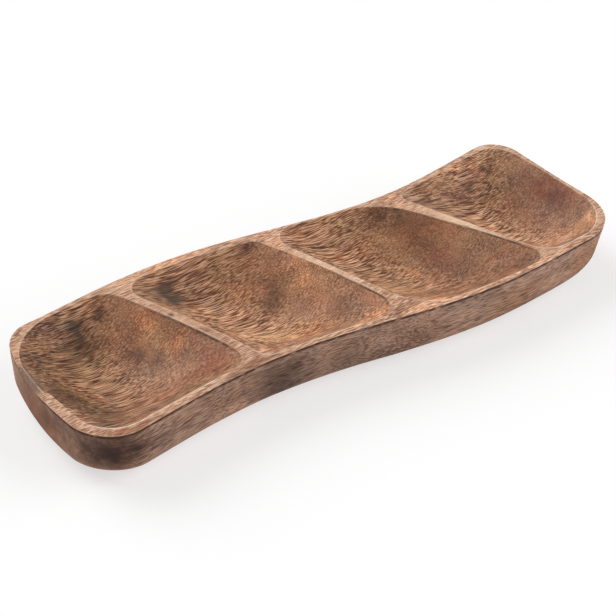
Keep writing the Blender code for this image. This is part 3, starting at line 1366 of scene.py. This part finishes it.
@dataclass(frozen=True)
class DressedWood:
    """One material of the block: its finish, the bared finish of its edges, and the painted shade and
    highlight along its edges.

    The bare wood frays into the finish, and the lines break up, by the ragged pattern.
    """

    name: str
    grain: MangoGrain
    finish: MangoFinish
    bared: MangoFinish | None = None
    # The colours of the painted shade in the grooves and of the painted highlight on the crests
    groove: str = "3C1E10"
    crest: str = "FADCC0"
    fraying: float = 0.25
    bare_cut: Span = (0.4, 0.85)
    line_cut: Span = (0.25, 0.5)
    fibre_relief: float = 0.5
    ior: float = 1.5
    specular: float = 0.3

    def material(self) -> bpy.types.Material:
        """Build the material as a solid texture, so that the grain runs on from face to face.

        Returns:
            The material.
        """
        material = bpy.data.materials.new(self.name)
        material.use_nodes = True
        tree = material.node_tree
        shader = tree.nodes["Principled BSDF"]
        figure = self.grain.figure(tree)
        marks = {name: add_node(tree, "Attribute", attribute_name=name).outputs["Fac"] for name in MARKS}
        colour = self.finish.colour(tree, figure)
        shader.inputs["Roughness"].default_value = self.finish.roughness
        if self.bared:
            bare = self.bare(tree, figure, marks[BARED])
            feeds = {0: bare, 6: colour, 7: self.bared.colour(tree, figure)}
            colour = add_node(tree, "Mix", feeds, data_type="RGBA").outputs[2]
            feeds = {"Value": bare, "To Min": self.finish.roughness, "To Max": self.bared.roughness}
            tree.links.new(add_node(tree, "MapRange", feeds).outputs[0], shader.inputs["Roughness"])
        colour = self.paint_groove_shade_and_crest_highlights(tree, figure, marks, colour)
        tree.links.new(colour, shader.inputs["Base Color"])
        feeds = {0: figure.fibres, 1: self.fibre_relief, 2: self.finish.flecks(tree, figure)}
        depth = add_node(tree, "Math", feeds, operation="MULTIPLY_ADD")
        feeds = {"Height": depth, "Distance": self.finish.relief_mm / 1000, "Strength": 1.0}
        relief = add_node(tree, "Bump", feeds, invert=True)
        tree.links.new(relief.outputs[0], shader.inputs["Normal"])
        shader.inputs["IOR"].default_value = self.ior
        shader.inputs["Specular IOR Level"].default_value = self.specular
        return material

    def bare(self, tree: Tree, figure: Figure, mark: Socket) -> Socket:
        """Find where the wood is bared.

        Args:
            tree: The material's node tree.
            figure: The grain's patterns.
            mark: The mark of the bared edges.

        Returns:
            The share of bared wood.
        """
        feeds = {0: figure.ragged, 1: self.fraying, 2: mark}
        frayed = add_node(tree, "Math", feeds, operation="MULTIPLY_ADD")
        low, high = self.bare_cut
        return add_node(tree, "MapRange", {"Value": frayed, "From Min": low, "From Max": high}).outputs[0]

    def paint_groove_shade_and_crest_highlights(self, tree: Tree, figure: Figure, marks: dict[str, Socket], colour: Socket) -> Socket:
        """Paint the shade in the grooves and the highlights on the crests over the colour.

        Args:
            tree: The material's node tree.
            figure: The grain's patterns.
            marks: The marks of the edges.
            colour: The colour under them.

        Returns:
            The colour with the lines.
        """
        low, high = self.line_cut
        broken = add_node(tree, "MapRange", {"Value": figure.ragged, "From Min": low, "From Max": high})
        for mark, hex_colour in ((GROOVE_SHADE, self.groove), (CREST_HIGHLIGHT, self.crest)):
            cover = add_node(tree, "Math", {0: marks[mark], 1: broken}, operation="MULTIPLY")
            feeds = {0: cover, 6: colour, 7: linear(hex_colour)}
            colour = add_node(tree, "Mix", feeds, data_type="RGBA").outputs[2]
        return colour


BLOCK_GRAIN = MangoGrain()
# On the side the vessels are seen nearly level, shorter and as tall as they are wide
SIDE_GRAIN = MangoGrain(
    dive=math.radians(-2),
    fibre=Threads(20.0, 0.7, 0.7, 2.0),
    vessel=Threads(11.0, 0.6, 0.6, 0.5),
    steep_mm=0.6,
    crowding=0.06,
    layer_mm=2.6,
)

# Scooped and oiled: the cut vessels hold the oil and show as fine dark dashes on warm brown
OILED_BOWL = MangoFinish(
    shades=("C8986F", "AE7856", "8C5B3E", "613B28"),
    hues=("F2F6EA", "FFEDDC"),
    vessel="391B0C",
    vessel_share=0.95,
    halo="E2B996",
    halo_share=0.75,
    layer_share=0.2,
    fibre_weight=0.85,
    patch_weight=1.1,
    roughness=0.5,
    relief_mm=0.3,
    stains_and_light_patches=(
        # first bowl and the worn place beside it
        StainAndLightPatch((-236, 14, 43), (16, 36, 16), 0, "8A6C5C", 0.9, Blend.COVER),
        StainAndLightPatch((-222, -8, 32), (40, 56, 40), 0, "A8A094", 1.0),
        StainAndLightPatch((-205, 5, 30), (56, 100, 60), 0, "D2CCC2", 0.9),
        StainAndLightPatch((-226, 40, 36), (30, 30, 40), 20, "BAB4AA", 1.0),
        StainAndLightPatch((-212, -40, 30), (32, 26, 30), 0, "B6AEA4", 0.9),
        StainAndLightPatch((-188, 45, 32), (42, 30, 40), 10, "A8A098", 0.9),
        StainAndLightPatch((-181, 57, 34), (12, 9, 30), 30, "8A8580", 0.9),
        StainAndLightPatch((-161, 61, 37), (12, 8, 30), 0, "8A8580", 0.8),
        StainAndLightPatch((-155, -50, 26), (60, 18, 40), 8, "CFC4BA", 0.8),
        StainAndLightPatch((-137, 32, 32), (17, 24, 30), 0, "BCB8A4", 0.9, Blend.LIGHTEN),
        StainAndLightPatch((-131, 5, 32), (17, 20, 30), 0, "B8B49C", 0.9, Blend.LIGHTEN),
        StainAndLightPatch((-146, 4, 27), (14, 16, 30), 0, "B8A898", 0.7),
        StainAndLightPatch((-122, -34, 30), (34, 30, 40), 0, "D8A080", 0.9),
        StainAndLightPatch((-116, -36, 32), (34, 30, 40), 0, "846044", 0.6, Blend.LIGHTEN),
        StainAndLightPatch((-208, 64, 38), (38, 14, 30), 10, "A4948A", 0.9),
        StainAndLightPatch((-176, 60, 38), (40, 10, 24), 0, "B4A89C", 0.8),
        StainAndLightPatch((-155, 20, 28), (14, 14, 24), 0, "A89888", 0.9),
        StainAndLightPatch((-200, 42, 32), (22, 12, 24), 0, "8A8478", 0.9, Blend.LIGHTEN),
        StainAndLightPatch((-200, 6, 24), (36, 36, 40), 0, "868A8E", 0.9, Blend.LIGHTEN),
        # second bowl; the grey lightening patches over its left part, x -89 to -42 mm, are painted light on
        # walls that face the right
        StainAndLightPatch((-107, 55, 36), (25, 14, 24), -57, "5E4C3E", 0.95, Blend.COVER),
        StainAndLightPatch((-107, 55, 36), (46, 24, 30), -30, "BCB4A8", 0.9),
        StainAndLightPatch((-93, 6, 34), (14, 16, 30), 0, "A89C94", 0.8),
        StainAndLightPatch((-84, 60, 40), (60, 9, 20), 0, "B4A89C", 0.8),
        StainAndLightPatch((-30, 65, 42), (17, 13, 30), 0, "9A9088", 0.9),
        StainAndLightPatch((-68, -8, 24), (50, 70, 40), 10, "989EA0", 1.0, Blend.LIGHTEN),
        StainAndLightPatch((-68, 24, 28), (24, 14, 30), 0, "8C8C94", 0.9, Blend.LIGHTEN),
        StainAndLightPatch((-2, 0, 38), (11, 80, 30), 18, "9A9A9C", 0.9, Blend.LIGHTEN),
        StainAndLightPatch((-86, -46, 34), (28, 22, 30), 0, "A49A94", 0.9, Blend.LIGHTEN),
        StainAndLightPatch((-42, -26, 22), (44, 26, 40), 0, "A09C90", 0.9, Blend.LIGHTEN),
        StainAndLightPatch((-24, -60, 38), (70, 13, 30), 0, "ACA8A0", 1.0, Blend.LIGHTEN),
        StainAndLightPatch((-10, 20, 34), (20, 34, 30), -10, "AAA49E", 0.9, Blend.LIGHTEN),
        StainAndLightPatch((-89, 38, 26), (16, 12, 24), 0, "8E8C8A", 0.8, Blend.LIGHTEN),
        StainAndLightPatch((-53, 40, 22), (20, 14, 24), 0, "8A8886", 0.8, Blend.LIGHTEN),
        StainAndLightPatch((-12, -18, 30), (24, 36, 30), 0, "8C6244", 0.5, Blend.LIGHTEN),
        StainAndLightPatch((6, -58, 40), (30, 20, 30), 0, "8A827C", 0.7, Blend.LIGHTEN),
        StainAndLightPatch((-38, 19, 24), (24, 15, 30), 30, "958A80", 0.8),
        StainAndLightPatch((-10, -28, 26), (20, 26, 30), 0, "BCA890", 0.8),
        # third bowl; the two grey lightening patches at x 48 and 50 mm are painted light on walls that face
        # the right
        StainAndLightPatch((84, 48, 38), (26, 14, 30), 0, "A8988A", 0.8),
        StainAndLightPatch((99, 42, 38), (14, 22, 30), 0, "A89C90", 0.8),
        StainAndLightPatch((102, 24, 32), (34, 40, 34), 0, "B4A498", 0.9),
        StainAndLightPatch((100, -24, 30), (22, 66, 36), 22, "C8B8AA", 0.9),
        StainAndLightPatch((48, 26, 28), (36, 16, 30), -10, "948E84", 0.9, Blend.LIGHTEN),
        StainAndLightPatch((50, -26, 24), (34, 18, 30), 0, "8A8478", 0.9, Blend.LIGHTEN),
        StainAndLightPatch((76, -8, 22), (12, 12, 30), 0, "A09078", 0.8, Blend.LIGHTEN),
        StainAndLightPatch((96, -68, 34), (34, 16, 30), 0, "ACA094", 0.8),
        StainAndLightPatch((130, -66, 40), (34, 20, 30), 0, "AC988A", 0.8),
        StainAndLightPatch((50, -62, 36), (30, 14, 30), -20, "9C8250", 0.9, Blend.LIGHTEN),
        StainAndLightPatch((48, 63, 42), (24, 8, 30), 0, "A08C68", 0.7, Blend.LIGHTEN),
        StainAndLightPatch((30, 38, 32), (26, 12, 30), 0, "74684C", 0.7, Blend.LIGHTEN),
        # fourth bowl; the grey and bluish lightening patches at x 168 to 192 mm are painted light on walls
        # that face the right
        StainAndLightPatch((175, 65, 43), (60, 12, 30), 0, "A8946C", 0.85, Blend.LIGHTEN),
        StainAndLightPatch((140, 52, 38), (36, 14, 30), -20, "846C3C", 0.7, Blend.LIGHTEN),
        StainAndLightPatch((150, 56, 40), (50, 16, 24), -10, "A0744C", 0.35, Blend.COVER),
        StainAndLightPatch((166, 42, 33), (34, 13, 30), -15, "A8988A", 0.9),
        StainAndLightPatch((182, 47, 36), (10, 12, 30), 0, "9C9084", 0.8),
        StainAndLightPatch((140, 40, 40), (34, 10, 24), -20, "B4A498", 0.8),
        StainAndLightPatch((168, 13, 34), (18, 12, 24), 0, "8C8C88", 0.9, Blend.LIGHTEN),
        StainAndLightPatch((207, 52, 38), (11, 10, 30), 0, "8A7C72", 0.9),
        StainAndLightPatch((170, -12, 30), (26, 66, 30), -5, "B4B4B4", 1.0, Blend.LIGHTEN),
        StainAndLightPatch((192, -46, 28), (56, 44, 30), 0, "A0A8B6", 1.0, Blend.LIGHTEN),
        StainAndLightPatch((184, -8, 28), (32, 44, 40), 0, "7E8894", 0.8, Blend.LIGHTEN),
        StainAndLightPatch((228, -4, 32), (22, 60, 40), 0, "C09880", 1.0),
        StainAndLightPatch((222, -62, 36), (16, 16, 30), 0, "B0A8A0", 0.9, Blend.LIGHTEN),
        # painted highlight: a bright patch inside the lip at the near right corner
        StainAndLightPatch((225, -50, 39), (14, 11, 14), 40, "BDC7D1", 1.0, Blend.LIGHTEN),
    ),
)
# Sanded flat after the oiling: bare, pale and matt, with brown vessels that stand out less than in the bowls
SANDED_RIM = MangoFinish(
    shades=("EAC4A5", "D1A688", "B2846A", "7C5240"),
    hues=("FFF8EC", "FFEEE2"),
    vessel="74452F",
    vessel_share=0.6,
    halo="FADFC8",
    halo_share=0.5,
    layer_share=0.1,
    fibre_weight=1.15,
    patch_weight=0.8,
    roughness=0.62,
    relief_mm=0.12,
    stains_and_light_patches=(
        StainAndLightPatch((-80, 79, 45), (120, 12, 30), 0, "8A7A6A", 0.8, Blend.LIGHTEN),
        StainAndLightPatch((-8, 55, 45), (22, 34, 30), 0, "8A7A68", 0.8, Blend.LIGHTEN),
        StainAndLightPatch((104, 48, 45), (22, 30, 30), 0, "908070", 0.8, Blend.LIGHTEN),
        StainAndLightPatch((5, 10, 45), (13, 62, 30), 18, "FFD6B4", 0.6, Blend.COVER),
        StainAndLightPatch((32, -72, 45), (26, 12, 30), 0, "8A7A68", 0.8, Blend.LIGHTEN),
        StainAndLightPatch((-115, -12, 45), (14, 34, 30), 18, "C4B4A8", 0.9),
        StainAndLightPatch((-104, -58, 45), (44, 14, 30), 0, "C4B4A8", 0.9),
        StainAndLightPatch((-204, -66, 45), (44, 18, 30), 0, "C8BAAE", 0.8),
        StainAndLightPatch((14, -64, 45), (18, 12, 30), 0, "C8B8AC", 0.8),
        StainAndLightPatch((138, -42, 45), (12, 34, 30), 18, "BCAA9C", 0.9),
        StainAndLightPatch((130, -4, 45), (14, 74, 30), 23, "FFD8B6", 0.65, Blend.COVER),
        StainAndLightPatch((-117, 14, 45), (10, 66, 30), 19, "D8AA8A", 0.5, Blend.COVER),
        StainAndLightPatch((68, -75, 45), (90, 10, 30), -4, "8C8680", 0.9, Blend.LIGHTEN),
        StainAndLightPatch((142, -79, 45), (60, 9, 30), 0, "8C8680", 0.9, Blend.LIGHTEN),
        StainAndLightPatch((-212, -58, 45), (26, 14, 30), -35, "E6B898", 0.9),
        StainAndLightPatch((-124.0, 21.6, 45), (8, 6, 20), 20, "38241A", 1.0, Blend.COVER),
    ),
)
# Planed outside and handled: dull greyish brown with fine short flecks, darker at the left end, and lightened
# low down with painted light thrown up from the floor
HANDLED_SIDE = MangoFinish(
    shades=("E2BDA5", "C59D86", "9D7A67", "705247"),
    hues=("F2F2F2", "FFF0E2"),
    vessel="38251C",
    vessel_share=0.62,
    halo="BC9E8A",
    halo_share=0.5,
    layer_share=0.45,
    fibre_weight=1.1,
    patch_weight=1.2,
    roughness=0.6,
    relief_mm=0.15,
    stains_and_light_patches=(
        StainAndLightPatch((-220, -62, 30), (50, 38, 42), 0, "6A4A32", 0.95),
        StainAndLightPatch((-240, 5, 22), (30, 90, 60), 0, "B49070", 0.9),
        StainAndLightPatch((-84, -58, 26), (64, 30, 36), 0, "9C9898", 1.0),
        StainAndLightPatch((-84, -56, 12), (26, 20, 14), 0, "8C8888", 0.8),
        StainAndLightPatch((-30, -66, 20), (30, 20, 24), 0, "B4B0AA", 0.7),
        StainAndLightPatch((100, -82, 22), (120, 30, 44), 0, "8C7A68", 0.4, Blend.LIGHTEN),
        StainAndLightPatch((205, -70, 22), (60, 40, 40), 0, "E6C8A8", 0.9),
        # painted light: lightens the low near side, as light thrown up from the floor
        StainAndLightPatch((-130, -55, 10), (60, 24, 24), 0, "A09484", 0.8, Blend.LIGHTEN),
        StainAndLightPatch((-213, -63, 34), (26, 22, 24), 0, "BEBEC2", 0.9),
        StainAndLightPatch((114, -76, 22), (50, 30, 30), 0, "E2DACA", 0.9),
        # painted light: lightens the lowest 17 mm all round, as light thrown up from the floor
        StainAndLightPatch((0, 0, 0), (3000, 3000, 17), 0, "A89888", 0.8, Blend.LIGHTEN),
    ),
)
# The flat base, planed and left raw: paler, even and the dullest of the four
RAW_BASE = MangoFinish(
    shades=("C8A68E", "AD8A72", "8F6E5A", "6A4E3E"),
    hues=("F6F4EE", "FFF4EC"),
    vessel="5A4032",
    vessel_share=0.5,
    halo="C8A68E",
    halo_share=0.3,
    layer_share=0.3,
    fibre_weight=0.9,
    patch_weight=0.6,
    roughness=0.7,
    relief_mm=0.12,
)
FINISHES = {
    Surface.TOP: DressedWood("oiled_scooped_mango_with_sanded_rim", BLOCK_GRAIN, OILED_BOWL, SANDED_RIM),
    Surface.SIDE: DressedWood("handled_planed_mango", SIDE_GRAIN, HANDLED_SIDE),
    Surface.BASE: DressedWood("raw_planed_mango", BLOCK_GRAIN, RAW_BASE),
}


@dataclass(frozen=True)
class ServingTray:
    """The whole tray: one board with four bowls carved into it."""

    board: Board = field(default_factory=Board)
    worn: WornPlace = field(default_factory=WornPlace)
    net_pitch: float = 0.0021
    base_pitch: float = 0.0084
    unevenness: float = 0.00035
    unevenness_size: float = 0.032
    even_height: float = 0.004
    upright_sharpness: float = 8.0

    def build(self) -> bpy.types.Object:
        """Sew the outer face, the rim and the bowls into one closed mesh.

        Returns:
            The tray's object.
        """
        board = self.board
        levels = board.levels()
        rings = [board.ring(level) for level in levels]
        along = [point.x for ring in rings for point in ring]
        across = [point.y for ring in rings for point in ring]
        shift = Vector((-(min(along) + max(along)) / 2, -(min(across) + max(across)) / 2, 0.0))
        skin = Skin()
        rows = []
        for level, ring in zip(levels, rings):
            marks = {mark: [getattr(level, mark)] * len(ring) for mark in MARKS}
            rows.append(skin.ring([point + shift for point in ring], marks))
        first_top = len(rows) - len(board.easing_rows) - len(board.guard_rows)
        for index, (lower, upper) in enumerate(zip(rows[:-1], rows[1:])):
            skin.strip(lower, upper, Surface.SIDE if index < first_top else Surface.TOP)
        lips = [bowl.carve(board, skin, shift) for bowl in tray_bowls(board)]
        skin.fill(rows[-1], lips, self.net_pitch, Surface.TOP, self.worn.seeds(rows[-1], lips[0]))
        skin.fill(rows[0], [], self.base_pitch, Surface.BASE)
        self.worn.rub(skin, rows[-1], lips[0])
        self.soften(skin)
        return skin.to_object("carved_tray")

    def soften(self, skin: Skin) -> None:
        """Give the cut surfaces the slight unevenness of hand work, and keep them inside the CAD box.

        It fades out towards the flat base. At the worn place, where the vertices are crowded, it goes
        straight down, because tilted moves would fold the surface over there.

        Args:
            skin: The tray's surface, which is changed in place.
        """
        bmesh.ops.recalc_face_normals(skin.mesh, faces=skin.mesh.faces)
        skin.mesh.normal_update()
        upright = Vector((0.0, 0.0, 1.0))
        for vertex in skin.mesh.verts:
            wavy = 0.5 + 0.5 * noise.noise(vertex.co / self.unevenness_size)
            fade = min(1.0, vertex.co.z / self.even_height)
            crowded = smooth(self.upright_sharpness * self.worn.share(vertex.co))
            vertex.co -= vertex.normal.lerp(upright, crowded) * (self.unevenness * wavy * fade)
            for axis in range(3):
                vertex.co[axis] = min(max(vertex.co[axis], CAD_BOX[0][axis]), CAD_BOX[1][axis])

    def dress(self, tray: bpy.types.Object) -> None:
        """Give each surface its finish."""
        for surface in Surface:
            tray.data.materials.append(FINISHES[surface].material())


@dataclass(frozen=True)
class PhotoCamera:
    """The camera at the photograph's viewing angle, for its frame of 616 by 616 pixels."""

    stand: tuple[float, float, float] = (-0.50125, -0.64351, 0.62667)
    heading: float = math.radians(36.88)
    pitch: float = math.radians(37.0)
    roll: float = math.radians(1.5)
    focal_pixels: float = 1350.0
    frame_pixels: float = 616.0
    sensor_mm: float = 36.0
    far_clip: float = 20.0

    def build(self) -> None:
        """Put the camera into the scene and make it the scene's own."""
        level = Vector((math.sin(self.heading), math.cos(self.heading), 0.0))
        right = Vector((level.y, -level.x, 0.0))
        ahead = level * math.cos(self.pitch) - Vector((0.0, 0.0, math.sin(self.pitch)))
        up = right.cross(ahead)
        turn = Matrix.Rotation(-self.roll, 3, ahead)
        axes = Matrix((turn @ right, turn @ up, -ahead)).transposed()
        data = bpy.data.cameras.new("photo_camera")
        data.sensor_width = self.sensor_mm
        data.lens = self.focal_pixels / self.frame_pixels * self.sensor_mm
        data.clip_end = self.far_clip
        camera = bpy.data.objects.new("photo_camera", data)
        camera.matrix_world = Matrix.Translation(self.stand) @ axes.to_4x4()
        bpy.context.scene.collection.objects.link(camera)
        bpy.context.scene.camera = camera


@dataclass(frozen=True)
class Lamp:
    """A soft lamp far away: where it hangs, and how much it lights a face that is turned to it."""

    name: str
    heading: float
    height: float
    level: float
    softness: float

    def hang(self) -> None:
        """Hang the lamp."""
        light = bpy.data.lights.new(self.name, "SUN")
        light.angle = self.softness
        light.energy = self.level * math.pi
        across = math.cos(self.height)
        east = math.sin(self.heading) * across
        north = math.cos(self.heading) * across
        source = Vector((east, north, math.sin(self.height)))
        lamp = bpy.data.objects.new(self.name, light)
        lamp.rotation_euler = source.to_track_quat("Z", "Y").to_euler()
        bpy.context.scene.collection.objects.link(lamp)


@dataclass(frozen=True)
class SeamlessPaper:
    """Matt white background paper, which looks pure white to the camera but keeps its shadows.

    The camera sees the paper mixed with a glow, whose level is a touch over 1 to make up for the paper that
    is lit a little below white.
    """

    white: float = 0.9
    roughness: float = 0.9
    glow_share: float = 0.6
    glow_level: float = 1.02

    def material(self) -> bpy.types.Material:
        """Build the material.

        Returns:
            The material.
        """
        material = bpy.data.materials.new("white_seamless_paper")
        material.use_nodes = True
        tree = material.node_tree
        shader = tree.nodes["Principled BSDF"]
        seen = add_node(tree, "LightPath").outputs["Is Camera Ray"]
        lit = (self.white, self.white, self.white, 1.0)
        paper = add_node(tree, "Mix", {0: seen, 6: lit, 7: WHITE}, data_type="RGBA")
        tree.links.new(paper.outputs[2], shader.inputs["Base Color"])
        shader.inputs["Roughness"].default_value = self.roughness
        shader.inputs["Specular IOR Level"].default_value = 0.0
        share = add_node(tree, "Math", {0: seen, 1: self.glow_share}, operation="MULTIPLY")
        glow = add_node(tree, "Emission", {"Strength": self.glow_level})
        mixed = add_node(tree, "MixShader", {0: share, 1: shader, 2: glow})
        tree.links.new(mixed.outputs[0], tree.nodes["Material Output"].inputs["Surface"])
        return material


@dataclass(frozen=True)
class Studio:
    """A white seamless floor, an even surround, a soft key light from behind and a fill from the front."""

    floor_size: float = 8.0
    paper: SeamlessPaper = SeamlessPaper()
    surround: float = 0.30
    key: Lamp = Lamp("key_light", math.radians(-20), math.radians(42), 0.61, math.radians(45))
    fill: Lamp = Lamp("fill_light", math.radians(122), math.radians(30), 0.53, math.radians(50))

    def build(self) -> None:
        """Build the floor, the surround and the lamps."""
        self.lay_floor()
        self.light_surround()
        self.key.hang()
        self.fill.hang()

    def lay_floor(self) -> None:
        """Lay the white floor that the tray stands on."""
        reach = self.floor_size / 2
        data = bpy.data.meshes.new("studio_floor")
        corners = [(-reach, -reach, 0.0), (reach, -reach, 0.0), (reach, reach, 0.0), (-reach, reach, 0.0)]
        data.from_pydata(corners, [], [(0, 1, 2, 3)])
        floor = bpy.data.objects.new("studio_floor", data)
        bpy.context.scene.collection.objects.link(floor)
        data.materials.append(self.paper.material())

    def light_surround(self) -> None:
        """Light the scene evenly from all round, with a white backdrop where it is seen directly."""
        world = bpy.data.worlds.new("white_studio")
        bpy.context.scene.world = world
        world.use_nodes = True
        tree = world.node_tree
        tree.nodes.clear()
        rays = add_node(tree, "LightPath").outputs
        seen = rays["Is Camera Ray"]
        for kind in ("Is Glossy Ray", "Is Transmission Ray"):
            seen = add_node(tree, "Math", {0: seen, 1: rays[kind]}, operation="MAXIMUM")
        level = add_node(tree, "MapRange", {"Value": seen, "To Min": self.surround, "To Max": 1.0})
        light = add_node(tree, "Background", {"Color": WHITE, "Strength": level})
        add_node(tree, "OutputWorld", {"Surface": light})


def main() -> None:
    """Build the tray and its studio."""
    logging.basicConfig(level=logging.INFO, format="%(name)s: %(message)s")
    bpy.context.scene.view_settings.view_transform = "Standard"
    tray = ServingTray()
    piece = tray.build()
    tray.dress(piece)
    LOG.info("%s: %d faces, %d materials", piece.name, len(piece.data.polygons), len(piece.data.materials))
    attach(piece, "root")
    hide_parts("carved_body")
    Studio().build()
    PhotoCamera().build()


if __name__ == "__main__":
    main()
